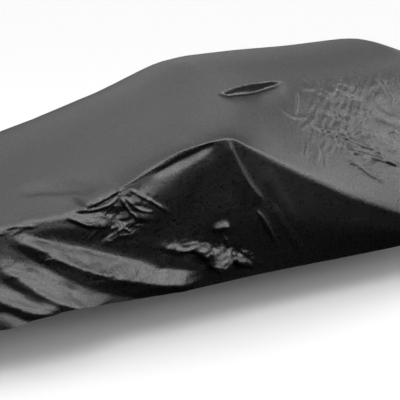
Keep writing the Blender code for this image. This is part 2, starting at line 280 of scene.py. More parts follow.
def draped_points(along, across):
    """Points of the draped cloth for places along it and across it, before its folds."""
    column = {
        name: soft_line(along, section_along, section[name], SECTION_REACH[name]) for name in section
    }
    near_out, near_up = half_section(column, "ridge")
    far_out, far_up = half_section(column, "far_ridge")
    out = hem_to_hem(-near_out, far_out)
    up = hem_to_hem(near_up, far_up)
    places = hem_to_hem(-across_table["place"], across_table["place"])
    reach = bend_reach(across, places, column["soft"])
    each = np.arange(len(along))
    y = np.zeros(len(along))
    z = np.zeros(len(along))
    for tap, weight in taps():
        place = across + tap * reach
        inner = np.clip(np.searchsorted(places, place, side="right") - 1, 0, len(places) - 2)
        part = (place - places[inner]) / (places[inner + 1] - places[inner])
        y += weight * (out[inner, each] * (1.0 - part) + out[inner + 1, each] * part)
        z += weight * (up[inner, each] * (1.0 - part) + up[inner + 1, each] * part)
    bow = 1.0 - np.abs(across) ** BOW_POWER
    x = column["side_x"] + (column["mid_x"] - column["side_x"]) * bow
    return np.stack([x, y, z], axis=-1)


# %% The grid, split where the creases are
# The coordinates that a flat view of the side keeps: lengths and heights.
SIDE = [0, 2]


def in_zones(points, across, zones):
    """Which points of the near side lie in any of the zones."""
    found = np.zeros(len(points), bool)
    for middle, half_size in zones.values():
        away = np.abs(points[:, SIDE] - middle) / half_size
        found |= np.all(away < 1.0, axis=-1)
    return found & (across < SPLIT_FROM)


def split_faces(grid, zones):
    """Split in four each face of the grid whose middle lies in a zone."""
    middles = np.array([face.calc_center_median()[:2] for face in grid.faces])
    chosen = in_zones(draped_points(middles[:, 0], middles[:, 1]), middles[:, 1], zones)
    edges = {edge for face, keep in zip(grid.faces, chosen) if keep for edge in face.edges}
    bmesh.ops.subdivide_edges(grid, edges=list(edges), cuts=1, use_grid_fill=True)


grid = bmesh.new()
corners = [[grid.verts.new((along, across, 0.0)) for across in cell_across] for along in cell_along]
for row, next_row in zip(corners, corners[1:]):
    for a, b, c, d in zip(row, next_row, next_row[1:], row[1:]):
        grid.faces.new((a, b, c, d))
split_faces(grid, SPLIT_ZONES)
split_faces(grid, SPLIT_AGAIN_ZONES)
grid.verts.index_update()
places_on_cloth = np.array([vert.co[:2] for vert in grid.verts])
faces = [[vert.index for vert in face.verts] for face in grid.faces]
grid.free()
point_along, point_across = places_on_cloth.T
triangles = np.array([(face[0], b, c) for face in faces for b, c in zip(face[1:], face[2:])])
print(len(places_on_cloth), "points in", len(faces), "faces,", len(triangles), "triangles")


# %% The draped cloth before its folds
NO_AREA = 1e-12


def outward_directions(points):
    """Unit directions square to the cloth and away from its hollow."""
    a, b, c = (points[triangles[:, corner]] for corner in range(3))
    facing = np.cross(b - a, c - a)
    total = np.zeros_like(points)
    for corner in range(3):
        for axis in range(3):
            total[:, axis] += np.bincount(triangles[:, corner], facing[:, axis], len(points))
    return total / np.maximum(np.linalg.norm(total, axis=1, keepdims=True), NO_AREA)


cloth = draped_points(point_along, point_across)
print("draped sheet", np.round(cloth.min(0), 3), "to", np.round(cloth.max(0), 3))

# %% [markdown]
# ## Folds with a lit face and a dark face
#
# A fold in hanging cloth is not a round sausage. Under light from above it has a wide, flat upper
# face that catches the light, a firm crest along that face's lower edge, and a short face below that
# drops back into shade. Sculpting with brushes could give this, but a written fold can be moved by a
# finger's width and tried again. Each row of a fold table holds its path in a flat view, the widths
# of its upper and lower faces and how far its crest stands out, each once or at even steps along the
# path, and its turns. They say how much of a face is spent on turning at the crest and at the foot:
# small is a firm crease, and a row without turns gets a crease's.

# %% A fold's path
PATH_STEPS = 24


def smooth_path(points):
    """A smooth path through two or more points."""
    points = np.array(points, float)
    stops = running_total(np.linalg.norm(np.diff(points, axis=0), axis=1))
    at = np.linspace(0.0, stops[-1], PATH_STEPS)
    if len(points) == 2:
        return points[0] + (at / stops[-1])[:, None] * (points[1] - points[0])
    slopes = np.gradient(points, stops, axis=0)
    run = np.clip(np.searchsorted(stops, at, side="right") - 1, 0, len(stops) - 2)
    length = (stops[run + 1] - stops[run])[:, None]
    t = (at - stops[run])[:, None] / length
    start_part = (1.0 + 2.0 * t) * (1.0 - t) ** 2 * points[run]
    end_part = t * t * (3.0 - 2.0 * t) * points[run + 1]
    start_slope = t * (1.0 - t) ** 2 * length * slopes[run]
    end_slope = t * t * (t - 1.0) * length * slopes[run + 1]
    return start_part + end_part + start_slope + end_slope


def beside_path(flat, path):
    """For flat points: how far along the path (0 to 1) and how far to its left each one lies."""
    best = np.full(len(flat), np.inf)
    part = np.zeros(len(flat))
    left = np.zeros(len(flat))
    runs = len(path) - 1
    for index in range(runs):
        run = path[index + 1] - path[index]
        offset = flat - path[index]
        t = np.clip((offset @ run) / (run @ run), 0.0, 1.0)
        away = offset - t[:, None] * run
        distance = np.linalg.norm(away, axis=1)
        side = run[0] * away[:, 1] - run[1] * away[:, 0]
        closer = distance < best
        best = np.where(closer, distance, best)
        part = np.where(closer, (index + t) / runs, part)
        left = np.where(closer, np.copysign(distance, side), left)
    return part, left


print("a fold path has", PATH_STEPS, "steps")

# %% Helpers that lay a fold on the sheet
# Shares of a fold's length: its height fades out over the first of these at both of its ends, and
# its widths and heights bend as softly as the second from step to step.
END_FADE = 0.18
STEP_BEND = 0.2
# The turns of a crease, as a share of its face.
CREASE_TURNS = 0.2


def ease(value):
    """A smooth step from 0 to 1."""
    value = np.clip(value, 0.0, 1.0)
    return value * value * (3.0 - 2.0 * value)


def fold_face(t, crest_turn, foot_turn):
    """The height of one face of a fold, from its crest (t = 0) to its foot (t = 1)."""
    t = np.clip(t, 0.0, 1.0)
    slope = 1.0 / (1.0 - 0.5 * (crest_turn + foot_turn))
    crest = 0.5 * slope * np.minimum(t, crest_turn) ** 2 / crest_turn
    flat_part = slope * np.clip(t - crest_turn, 0.0, 1.0 - crest_turn - foot_turn)
    into_foot = np.clip(t - (1.0 - foot_turn), 0.0, None)
    foot = slope * (into_foot - 0.5 * into_foot**2 / foot_turn)
    return 1.0 - (crest + flat_part + foot)


def along_fold(value, part):
    """A fold's width or height, given once or at even steps from its start to its end."""
    stops = np.array(value, float) if np.ndim(value) else np.full(3, value)
    return soft_line(part, np.linspace(0.0, 1.0, len(stops)), stops, STEP_BEND)


def fold_lift(flat, path, above, below, stands_out, turns=CREASE_TURNS):
    """How far one fold lifts each flat point of the sheet."""
    crest_turn, foot_turn = np.broadcast_to(turns, 2)
    path = smooth_path(path)
    widest = max(np.max(above), np.max(below))
    low, high = path.min(0) - widest, path.max(0) + widest
    close = np.all((flat > low) & (flat < high), axis=-1)
    lift = np.zeros(len(flat))
    if close.any():
        part, left = beside_path(flat[close], path)
        width = np.where(left > 0.0, along_fold(above, part), along_fold(below, part))
        ends = ease(part / END_FADE) * ease((1.0 - part) / END_FADE)
        face = fold_face(np.abs(left) / width, crest_turn, foot_turn)
        lift[close] = along_fold(stands_out, part) * ends * face
    return lift


def lay_folds(points, folds, plane, mask, hang=0.0):
    """Lift the sheet along its outward directions by every fold, and let the crests hang a little."""
    flat = points[:, plane]
    lift = mask * sum(fold_lift(flat, *fold) for fold in folds.values())
    down = np.array([0.0, 0.0, -hang])
    return points + lift[:, None] * (outward_directions(points) + down)


print("a crease spends", CREASE_TURNS, "of each face on a turn")

# %% [markdown]
# ## The main folds
#
# Three big folds sweep back and down from the front corner, because the cloth there is wider than
# the body below it and its weight pulls it towards the lowest point. A tight ridge drops from the
# mirror, and a tuck runs under the ridge in front of it. These shapes are also in the solid, so
# here they only gain firmer crests.

# %% Main folds of the near side
MAIN_FOLDS = {
    "corner_hollow": (
        ((-0.14, 0.692), (0.02, 0.640), (0.16, 0.588), (0.36, 0.512), (0.62, 0.430)),
        (0.030, 0.090, 0.150, 0.130, 0.080), (0.030, 0.034, 0.036, 0.036, 0.036),
        (-0.004, -0.014, -0.020, -0.012, -0.004), (0.30, 0.30),
    ),
    "upper_corner_fold": (
        ((-0.25, 0.728), (-0.08, 0.632), (0.13, 0.505), (0.39, 0.398), (0.63, 0.335), (0.85, 0.290)),
        (0.040, 0.060, 0.078, 0.072), (0.035, 0.085, 0.110, 0.050), (0.014, 0.025, 0.037, 0.044),
        (0.10, 0.20),
    ),
    "middle_corner_fold": (
        ((-0.31, 0.600), (-0.20, 0.520), (-0.08, 0.412), (0.06, 0.332), (0.32, 0.302)),
        (0.055, 0.088, 0.070, 0.036), (0.040, 0.070, 0.050, 0.030), (0.013, 0.026, 0.024, 0.012),
        (0.10, 0.30),
    ),
    "lower_corner_fold": (
        ((-0.34, 0.460), (-0.24, 0.392), (-0.14, 0.342), (0.02, 0.306)),
        (0.050, 0.075, 0.055), (0.034, 0.050, 0.030), (0.012, 0.022, 0.012), (0.10, 0.35),
    ),
    "mirror_fold": (
        ((0.895, 1.095), (0.945, 0.985), (1.030, 0.850), (1.170, 0.695)),
        (0.018, 0.038, 0.020), (0.060, 0.160, 0.080), (0.009, 0.014, 0.008), (0.10, 0.50),
    ),
    "zigzag_fold": (
        ((1.100, 0.680), (1.145, 0.628), (1.205, 0.548), (1.275, 0.445)),
        (0.014, 0.024, 0.014), (0.008, 0.012, 0.010), (0.007, 0.013, 0.007), (0.10, 0.10),
    ),
    "door_fold": (
        ((0.56, 0.536), (0.67, 0.508), (0.78, 0.490), (0.87, 0.408)),
        (0.032, 0.040, 0.084), (0.022, 0.026, 0.030), (0.012, 0.018, 0.034), (0.12, 0.12),
    ),
    "door_fold_pouch": (
        ((0.84, 0.410), (0.92, 0.398), (1.00, 0.402)),
        (0.080, 0.110, 0.070), (0.025, 0.030, 0.025), (0.032, 0.062, 0.032), (0.12, 0.15),
    ),
    "door_fold_tail": (
        ((0.97, 0.425), (1.05, 0.385), (1.15, 0.335)),
        (0.045, 0.050, 0.025), (0.030, 0.040, 0.025), (0.022, 0.028, 0.010), (0.15, 0.30),
    ),
    "ridge_shelf": (
        ((0.36, 0.720), (0.50, 0.775), (0.64, 0.870), (0.75, 0.960), (0.86, 1.045)),
        (0.120, 0.140, 0.110, 0.030), (0.200, 0.260, 0.200, 0.080), (0.014, 0.026, 0.022, 0.004),
        (0.45, 0.50),
    ),
    "ridge_tuck": (
        ((0.52, 0.900), (0.64, 0.950), (0.75, 1.000), (0.86, 1.060)),
        (0.026, 0.036, 0.020), (0.020, 0.030, 0.014), (-0.008, -0.020, -0.008), (0.30, 0.25),
    ),
    "crease_patch_fold": (
        ((0.07, 0.765), (0.15, 0.727), (0.22, 0.700), (0.32, 0.684)),
        (0.030, 0.075, 0.060), (0.020, 0.024, 0.020), (0.012, 0.026, 0.016), 0.28,
    ),
}
# How far a crest sinks for each metre that it stands out.
MAIN_HANG = 0.25
# Across the cloth, a side's folds start here and reach their full height over this.
SIDE_FROM = 0.24
SIDE_BLEND = 0.10
near_side = ease((-SIDE_FROM - point_across) / SIDE_BLEND)
cloth = lay_folds(cloth, MAIN_FOLDS, SIDE, near_side, MAIN_HANG)
print(len(MAIN_FOLDS), "main folds; sheet now reaches", np.round(cloth.min(0), 3))

# %% [markdown]
# ## Dents of the roof and bonnet
#
# Where the cloth bridges the pillar beside the windscreen and the edge of the bonnet, it sinks a
# little between the two. A dent is a fold turned inwards, seen from above.

# %% Dents seen from above
ABOVE = [0, 1]
TOP_DENTS = {
    "roof_edge_lip": (
        ((1.12, -0.512), (1.24, -0.522), (1.42, -0.532), (1.62, -0.540)),
        (0.040, 0.050, 0.050), (0.006, 0.006, 0.014), (0.002, 0.002, 0.001), (0.10, 0.40),
    ),
    "roof_edge_dent": (
        ((1.13, -0.530), (1.24, -0.538), (1.42, -0.548), (1.60, -0.560)),
        (0.010, 0.013, 0.016), (0.100, 0.200, 0.140), (-0.024, -0.064, -0.012), (0.10, 0.60),
    ),
    "bonnet_edge_dent": (
        ((-0.08, -0.62), (0.08, -0.66), (0.20, -0.74), (0.27, -0.84)),
        (0.070, 0.090, 0.050), (0.060, 0.080, 0.050), (-0.010, -0.018, -0.010), 0.50,
    ),
}
# Across the cloth, the dents fade out over these widths at the ridge and at the middle line.
RIDGE_BLEND = 0.05
MIDDLE_BLEND = 0.1
near_top = ease((RIDGE_PLACE + point_across) / RIDGE_BLEND) * ease(-point_across / MIDDLE_BLEND)
cloth = lay_folds(cloth, TOP_DENTS, ABOVE, near_top)
print(len(TOP_DENTS), "dents")

# %% [markdown]
# ## Plain folds where the camera does not look
#
# The far side and the two ends hang like the near side does, only plainer: a few broad, soft folds
# that sweep down from the corners and from the far mirror. They are laid with the same helper, on
# the sides seen square on and on the ends seen end on, and each set fades out towards the next.

# %% Folds of the far side and the ends
FAR_FOLDS = {
    "far_front_fold": (
        ((-0.26, 0.660), (0.05, 0.540), (0.42, 0.430), (0.85, 0.360)),
        (0.080, 0.130, 0.090), (0.050, 0.090, 0.050), (0.012, 0.030, 0.012), (0.20, 0.40),
    ),
    "far_front_low_fold": (
        ((-0.30, 0.470), (-0.08, 0.390), (0.20, 0.340), (0.50, 0.315)),
        (0.060, 0.090, 0.060), (0.030, 0.050, 0.030), (0.010, 0.024, 0.010), (0.20, 0.40),
    ),
    "far_mirror_fold": (
        ((0.94, 0.920), (1.08, 0.740), (1.36, 0.540), (1.76, 0.400)),
        (0.070, 0.120, 0.080), (0.060, 0.100, 0.060), (0.008, 0.022, 0.008), (0.20, 0.45),
    ),
    "far_door_fold": (
        ((0.90, 0.900), (0.80, 0.700), (0.76, 0.520), (0.80, 0.380)),
        (0.060, 0.090, 0.060), (0.050, 0.070, 0.050), (0.006, 0.016, 0.006), (0.25, 0.45),
    ),
    "far_rear_fold": (
        ((2.10, 0.360), (2.52, 0.450), (2.90, 0.590), (3.20, 0.800)),
        (0.080, 0.120, 0.070), (0.060, 0.090, 0.050), (0.010, 0.028, 0.010), (0.20, 0.40),
    ),
    "far_rear_low_fold": (
        ((2.50, 0.330), (2.85, 0.390), (3.18, 0.500)),
        (0.050, 0.080, 0.050), (0.030, 0.050, 0.030), (0.010, 0.022, 0.010), (0.20, 0.40),
    ),
}
NEAR_REAR_FOLDS = {
    "near_rear_fold": (
        ((2.52, 0.420), (2.78, 0.520), (3.00, 0.650), (3.20, 0.820)),
        (0.060, 0.100, 0.060), (0.050, 0.080, 0.050), (0.008, 0.026, 0.010), (0.20, 0.40),
    ),
    "near_rear_low_fold": (
        ((2.66, 0.330), (2.92, 0.390), (3.20, 0.500)),
        (0.050, 0.080, 0.050), (0.030, 0.050, 0.030), (0.010, 0.022, 0.010), (0.20, 0.40),
    ),
}
END_FOLDS = {
    "end_fold_1": (
        ((-0.60, 0.600), (-0.36, 0.480), (-0.05, 0.400), (0.26, 0.370)),
        (0.060, 0.100, 0.060), (0.040, 0.070, 0.040), (0.008, 0.020, 0.008), (0.25, 0.40),
    ),
    "end_fold_2": (
        ((-0.10, 0.330), (0.20, 0.410), (0.46, 0.530), (0.62, 0.640)),
        (0.060, 0.100, 0.060), (0.040, 0.070, 0.040), (0.008, 0.018, 0.008), (0.25, 0.40),
    ),
}
END_ON = [1, 2]
# The lengths past which the two ends' folds start, and over which they reach their full height.
FRONT_END = -0.56
REAR_END = 3.34
END_BLEND = 0.14
far_side = ease((point_across - SIDE_FROM) / SIDE_BLEND)
both_ends = ease((FRONT_END - cloth[:, 0]) / END_BLEND) + ease((cloth[:, 0] - REAR_END) / END_BLEND)
cloth = lay_folds(cloth, FAR_FOLDS, SIDE, far_side, MAIN_HANG)
cloth = lay_folds(cloth, NEAR_REAR_FOLDS, SIDE, near_side, MAIN_HANG)
cloth = lay_folds(cloth, END_FOLDS, END_ON, both_ends)
print(len(FAR_FOLDS) + len(NEAR_REAR_FOLDS) + len(END_FOLDS), "plain folds out of view")

# %% [markdown]
# ## Sharp creases
#
# Cloth that is stuffed into a bag keeps its sharp creases for days. They gather where it is pinched:
# under the front ridge, on the pouch of the door fold, and over the rear window. Each is a thin
# ridge of a few millimetres with one narrow lit face, so the same helper makes them from short rows.

# %% Creases of the near side
CREASES = {
    "pinch_lip": (((0.375, 0.862), (0.30, 0.828), (0.23, 0.803), (0.15, 0.775)), 0.014, 0.050, 0.014, 0.3),
    "pinch_roll": (((0.36, 0.830), (0.30, 0.790), (0.22, 0.776), (0.12, 0.778)), 0.016, 0.007, 0.0090),
    "pinch_long": (((0.405, 0.855), (0.47, 0.810), (0.53, 0.772), (0.63, 0.697)), 0.018, 0.005, 0.0075),
    "pinch_hook": (((0.380, 0.825), (0.41, 0.785), (0.446, 0.752), (0.535, 0.724)), 0.015, 0.006, 0.0053),
    "pinch_ray_1": (((0.368, 0.818), (0.387, 0.772), (0.420, 0.722)), 0.012, 0.006, 0.0045),
    "pinch_ray_2": (((0.356, 0.818), (0.392, 0.766), (0.450, 0.697)), 0.012, 0.006, 0.0053),
    "pinch_ray_3": (((0.316, 0.795), (0.339, 0.763), (0.362, 0.730)), 0.012, 0.006, 0.0037),
    "pinch_ray_4": (((0.335, 0.812), (0.30, 0.760), (0.27, 0.735)), 0.012, 0.006, 0.0030),
    "diamond_1": (((0.336, 0.708), (0.366, 0.672), (0.328, 0.640), (0.288, 0.620)), 0.012, 0.006, 0.0045),
    "diamond_2": (((0.290, 0.698), (0.318, 0.655), (0.336, 0.628)), 0.012, 0.006, 0.0037),
    "diamond_3": (((0.300, 0.615), (0.334, 0.642), (0.368, 0.657), (0.418, 0.628)), 0.014, 0.006, 0.0053),
    "diamond_4": (((0.345, 0.622), (0.420, 0.618)), 0.014, 0.005, 0.0045),
    "corner_tick_1": (((0.155, 0.622), (0.198, 0.668)), 0.007, 0.007, 0.0023),
    "corner_tick_2": (((-0.06, 0.563), (0.010, 0.573)), 0.007, 0.007, 0.0030),
    "corner_tick_3": (((0.008, 0.566), (0.090, 0.515)), 0.007, 0.007, 0.0030),
    "nose_line_1": (((-0.215, 0.735), (-0.153, 0.748), (-0.070, 0.772)), 0.012, 0.007, 0.0045),
    "nose_line_2": (((-0.200, 0.735), (-0.122, 0.737), (-0.065, 0.722)), 0.015, 0.006, 0.0045),
    "knot": (((0.402, 0.560), (0.430, 0.576), (0.452, 0.550)), 0.009, 0.009, 0.0030),
    "ridge_crease": (((0.365, 0.862), (0.428, 0.889), (0.513, 0.931), (0.600, 0.973)), 0.007, 0.009, 0.0037),
    "side_tick_1": (((0.690, 0.796), (0.775, 0.819)), 0.007, 0.009, 0.0023),
    "side_tick_2": (((0.842, 0.706), (0.902, 0.740)), 0.007, 0.009, 0.0030),
    "wedge": (((0.850, 0.600), (0.89, 0.602), (0.955, 0.604)), (0.02, 0.050, 0.02), 0.014, 0.022, 0.15),
    "wedge_tip": (((0.878, 0.705), (0.890, 0.660)), 0.007, 0.007, 0.0037),
    "pouch_line": (((0.915, 0.560), (0.949, 0.515), (0.980, 0.450)), 0.007, 0.009, 0.0045),
    "pouch_edge": (((0.872, 0.490), (0.866, 0.400)), 0.009, 0.009, 0.0045),
    "pouch_finger_1": (((0.985, 0.455), (1.055, 0.342)), 0.011, 0.011, 0.0053),
    "pouch_finger_2": (((1.045, 0.418), (1.120, 0.342)), 0.011, 0.011, 0.0045),
    "pouch_finger_3": (((1.090, 0.402), (1.190, 0.345)), 0.009, 0.009, 0.0037),
    "pouch_loop": (((0.912, 0.366), (0.957, 0.322), (0.975, 0.380)), 0.009, 0.009, 0.0053),
    "fold_hair_1": (((0.600, 0.522), (0.621, 0.460)), 0.007, 0.007, 0.0030),
    "fold_hair_2": (((0.668, 0.515), (0.652, 0.448)), 0.007, 0.007, 0.0030),
    "door_zigzag_3": (((1.262, 0.502), (1.290, 0.410)), 0.008, 0.008, 0.0045),
    "door_streak_1": (((1.13, 0.90), (1.27, 0.70), (1.42, 0.51)), 0.060, 0.060, 0.003, 0.5),
    "door_streak_2": (((1.20, 0.70), (1.37, 0.48), (1.52, 0.33)), 0.035, 0.035, 0.004, 0.5),
}
CREASE_HANG = 0.1
cloth = lay_folds(cloth, CREASES, SIDE, near_side, CREASE_HANG)
print(len(CREASES), "creases low on the near side")

# %% [markdown]
# ## Crumpled facets
#
# Between its named creases, stuffed cloth breaks into small flat facets with sharp edges, the way
# crumpled paper does. Each zone gets a net of corners set out at random steps, every corner is lifted
# or sunk a little, and the sheet follows the flat triangles between them. Steps that are longer one
# way than the other draw the facets out along the pull of the cloth.

# %% Facets of the crumpled zones
# A zone's middle and half sizes, its turn, its net's steps, the most a corner is lifted, how crumpled
# the cloth is there, and the seed of its net.
FACET_COLUMNS = ("middle", "half_size", "turn", "steps", "height", "crumple", "seed")
FACET_ZONES = {
    "pinch_fan": ((0.33, 0.765), (0.24, 0.085), -0.35, (0.085, 0.032), 0.0085, 0.8, 11),
    "pinch_small": ((0.35, 0.73), (0.26, 0.15), 0.30, (0.040, 0.026), 0.0030, 0.5, 12),
    "crease_patch": ((0.19, 0.735), (0.18, 0.055), -0.45, (0.060, 0.028), 0.0060, 0.6, 13),
    "diamond": ((0.36, 0.645), (0.13, 0.065), 0.25, (0.048, 0.028), 0.0085, 0.8, 14),
    "pouch": ((0.92, 0.455), (0.12, 0.12), -0.50, (0.070, 0.055), 0.0070, 0.8, 15),
    "pouch_small": ((0.88, 0.46), (0.34, 0.11), -0.30, (0.030, 0.020), 0.0030, 0.3, 16),
    "door_fold": ((0.68, 0.515), (0.15, 0.050), -0.10, (0.045, 0.022), 0.0045, 0.7, 17),
    "door_tail": ((1.09, 0.375), (0.13, 0.06), -0.60, (0.055, 0.018), 0.0060, 0.8, 18),
    "upper_fold_end": ((0.50, 0.37), (0.44, 0.10), -0.28, (0.050, 0.026), 0.0035, 0.9, 19),
    "upper_fold_start": ((0.05, 0.58), (0.32, 0.08), -0.50, (0.070, 0.028), 0.0030, 0.6, 20),
    "middle_fold": ((-0.08, 0.44), (0.28, 0.10), -0.55, (0.075, 0.034), 0.0055, 0.7, 21),
    "lower_fold": ((-0.20, 0.35), (0.24, 0.09), -0.40, (0.065, 0.030), 0.0045, 0.7, 22),
    "nose": ((-0.15, 0.745), (0.16, 0.05), 0.10, (0.060, 0.024), 0.0040, 0.6, 23),
    "rear_window": ((1.92, 1.16), (0.62, 0.18), -0.55, (0.080, 0.030), 0.0060, 1.0, 24),
    "rear_window_small": ((1.92, 1.13), (0.60, 0.22), 0.50, (0.050, 0.018), 0.0036, 1.0, 25),
    "rear_belt": ((2.02, 0.87), (0.40, 0.16), -0.40, (0.080, 0.030), 0.0050, 1.0, 26),
    "near_door": ((0.70, 0.62), (0.50, 0.22), 1.20, (0.160, 0.060), 0.0020, 0.2, 28),
    "rear_skirt": ((1.70, 0.46), (0.70, 0.20), 0.90, (0.180, 0.070), 0.0020, 0.15, 29),
}
# How far a net's corners stray, as a share of a step, and the share of a zone in which it fades out.
CORNER_JITTER = 0.38
FACET_FADE = 0.4
print(len(FACET_ZONES), "crumpled zones")


# %% Helpers that lay a net of facets
def net_corners(half_size, steps, rng):
    """A net of corners a little out of line, and how high each is lifted, from -1 to 1."""
    counts = [int(np.ceil(half / step)) + 1 for half, step in zip(half_size, steps)]
    even = np.stack(np.meshgrid(*[np.arange(-n, n + 1.0) for n in counts], indexing="ij"), axis=-1)
    corners = (even + rng.uniform(-CORNER_JITTER, CORNER_JITTER, even.shape)) * steps
    return corners, rng.uniform(-1.0, 1.0, even.shape[:2])


def facet_heights(flat, corners, heights):
    """Heights of flat points on the triangles between the corners of a net."""
    found = np.zeros(len(flat))
    for i in range(corners.shape[0] - 1):
        for j in range(corners.shape[1] - 1):
            quad = [(i, j), (i + 1, j), (i + 1, j + 1), (i, j + 1)]
            for trio in (quad[:3], [quad[0], *quad[2:]]):
                a, b, c = (corners[place] for place in trio)
                height_a, height_b, height_c = (heights[place] for place in trio)
                low, high = np.minimum(np.minimum(a, b), c), np.maximum(np.maximum(a, b), c)
                near = np.flatnonzero(np.all((flat >= low) & (flat <= high), axis=-1))
                share = (flat[near] - a) @ np.linalg.inv(np.stack([b - a, c - a]))
                inside = np.all(share >= 0.0, axis=-1) & (share.sum(axis=-1) <= 1.0)
                rise = np.array([height_b - height_a, height_c - height_a])
                found[near[inside]] = height_a + share[inside] @ rise
    return found


def zone_rim(flat, row):
    """Flat points turned to a zone's own axes, and how near its rim each is, from 0 to 1 and beyond."""
    turn = row["turn"]
    axes = np.array([[np.cos(turn), np.sin(turn)], [-np.sin(turn), np.cos(turn)]])
    turned = (flat - row["middle"]) @ axes.T
    return turned, np.linalg.norm(turned / row["half_size"], axis=-1)


def facet_lift(flat, zone):
    """How far one crumpled zone lifts each flat point, fading out at its rim."""
    row = dict(zip(FACET_COLUMNS, zone))
    turned, rim = zone_rim(flat, row)
    close = np.flatnonzero(rim < 1.0)
    rng = np.random.default_rng(row["seed"])
    corners, heights = net_corners(row["half_size"], np.array(row["steps"]), rng)
    lift = np.zeros(len(flat))
    fade = ease((1.0 - rim[close]) / FACET_FADE)
    lift[close] = row["height"] * fade * facet_heights(turned[close], corners, heights)
    return lift


# %% Facets on the sheet
facet_sum = near_side * sum(facet_lift(cloth[:, SIDE], zone) for zone in FACET_ZONES.values())
cloth = cloth + facet_sum[:, None] * outward_directions(cloth)
print("facets lift the cloth by up to", round(float(facet_sum.max()), 4), "m")

# %% [markdown]
# ## Creases over the rear window
#
# The cloth over the rear window leans back and mirrors a bright sky, so a crease there has to turn
# its face further before it shows. So these rows are a little wider and higher than those below,
# most of all the long ones at the belt.

# %% Creases beside the rear window
WINDOW_CREASES = {
    "belt_line_1": (
        ((1.74, 0.985), (1.853, 0.952), (1.982, 0.893), (2.071, 0.868)), 0.020, 0.008, 0.0100),
    "belt_line_2": (((2.06, 0.880), (2.120, 0.812), (2.20, 0.760)), 0.018, 0.008, 0.0110),
    "belt_line_3": (((1.81, 0.905), (1.897, 0.868), (1.991, 0.841), (2.20, 0.762)), 0.020, 0.008, 0.0100),
    "belt_line_4": (((1.78, 0.828), (1.850, 0.818), (1.905, 0.780), (1.978, 0.731), (2.07, 0.70)),
                    0.020, 0.008, 0.0110),
    "glass_line_1": (((1.61, 1.10), (1.647, 1.035), (1.69, 1.018), (1.81, 0.990)), 0.017, 0.010, 0.0070),
    "glass_line_2": (((1.54, 1.030), (1.63, 1.058)), 0.016, 0.010, 0.0058),
    "glass_line_3": (((1.77, 1.125), (1.82, 1.081), (1.895, 1.050)), 0.017, 0.010, 0.0058),
    "glass_line_4": (((2.215, 1.270), (2.26, 1.21), (2.275, 1.145), (2.305, 1.08)), 0.017, 0.010, 0.0081),
    "glass_line_5": (((2.262, 1.255), (2.289, 1.189), (2.305, 1.110)), 0.016, 0.010, 0.0058),
    "glass_line_6": (((1.70, 1.288), (1.747, 1.252), (1.816, 1.217), (1.875, 1.175)), 0.017, 0.010, 0.0058),
    "glass_line_7": (((1.79, 1.31), (1.77, 1.272), (1.81, 1.220)), 0.016, 0.010, 0.0046),
    "glass_line_8": (((1.625, 1.235), (1.582, 1.154), (1.53, 1.095)), 0.017, 0.010, 0.0058),
    "glass_line_10": (((1.86, 1.243), (1.98, 1.240), (2.025, 1.210)), 0.016, 0.010, 0.0046),
    "glass_line_11": (((1.44, 1.155), (1.52, 1.095), (1.64, 1.084)), 0.017, 0.010, 0.0046),
    "glass_line_12": (((1.95, 1.272), (2.06, 1.296), (2.135, 1.290), (2.165, 1.272)), 0.016, 0.010, 0.0046),
    "mirror_tick_1": (((1.112, 1.208), (1.058, 1.146)), 0.010, 0.010, 0.0023),
    "mirror_tick_2": (((0.988, 1.152), (0.980, 1.120)), 0.010, 0.010, 0.0023),
}
cloth = lay_folds(cloth, WINDOW_CREASES, SIDE, near_side)
print(len(WINDOW_CREASES), "creases beside the window")

# %% [markdown]
# ## From points to a mesh
#
# The grid becomes faces, and every face corner gets a place on the flat cloth in metres, so that the
# weave can follow the threads round each fold. The crumple strength is stored on the points: the
# next step and the material both read it.

# %% The sheet as a mesh with its cloth coordinates
# How crumpled the cloth is between its zones.
CRUMPLE_EVERYWHERE = 0.16
# Round a zone, the crumple strength fades over this share of its size and is gone at this rim.
CRUMPLE_RIM = 1.15
CRUMPLE_FADE = 0.5
# How many sections, and how many places across each, the cloth's widths are measured at.
LENGTH_TABLE = (81, 161)


def crumple_strength(points):
    """How crumpled the cloth is at each point, from 0 to 1."""
    strength = np.full(len(points), CRUMPLE_EVERYWHERE)
    for zone in FACET_ZONES.values():
        row = dict(zip(FACET_COLUMNS, zone))
        turned, rim = zone_rim(points[:, SIDE], row)
        strength = np.maximum(strength, near_side * row["crumple"] * ease((CRUMPLE_RIM - rim) / CRUMPLE_FADE))
    return strength


def across_lengths(points):
    """Lengths across the cloth from its middle line, read beside a few sections."""
    table_along = np.linspace(0.0, section_along[-1], LENGTH_TABLE[0])
    table_across = np.linspace(-1.0, 1.0, LENGTH_TABLE[1])
    lengths = []
    for along in table_along:
        line = draped_points(np.full(len(table_across), along), table_across)
        length = running_total(np.linalg.norm(np.diff(line, axis=0), axis=1))
        lengths.append(length - length[len(length) // 2])
    lengths = np.array(lengths)
    row = np.clip(np.searchsorted(table_along, points[:, 0]) - 1, 0, len(table_along) - 2)
    part = (points[:, 0] - table_along[row]) / (table_along[row + 1] - table_along[row])
    low = np.array([np.interp(a, table_across, lengths[r]) for a, r in zip(points[:, 1], row)])
    high = np.array([np.interp(a, table_across, lengths[r + 1]) for a, r in zip(points[:, 1], row)])
    return low * (1.0 - part) + high * part


def cloth_mesh(name, points, flat_places, strength):
    """The sheet as a mesh, with its places on the flat cloth and its crumple strength."""
    mesh = bpy.data.meshes.new(name)
    mesh.from_pydata(points.tolist(), [], faces)
    corners = np.empty(len(mesh.loops), dtype=np.int32)
    mesh.loops.foreach_get("vertex_index", corners)
    layer = mesh.uv_layers.new(name="cloth")
    layer.data.foreach_set("uv", flat_places[corners].ravel())
    attribute = mesh.attributes.new("crumple", "FLOAT", "POINT")
    attribute.data.foreach_set("value", strength)
    mesh.shade_smooth()
    return mesh


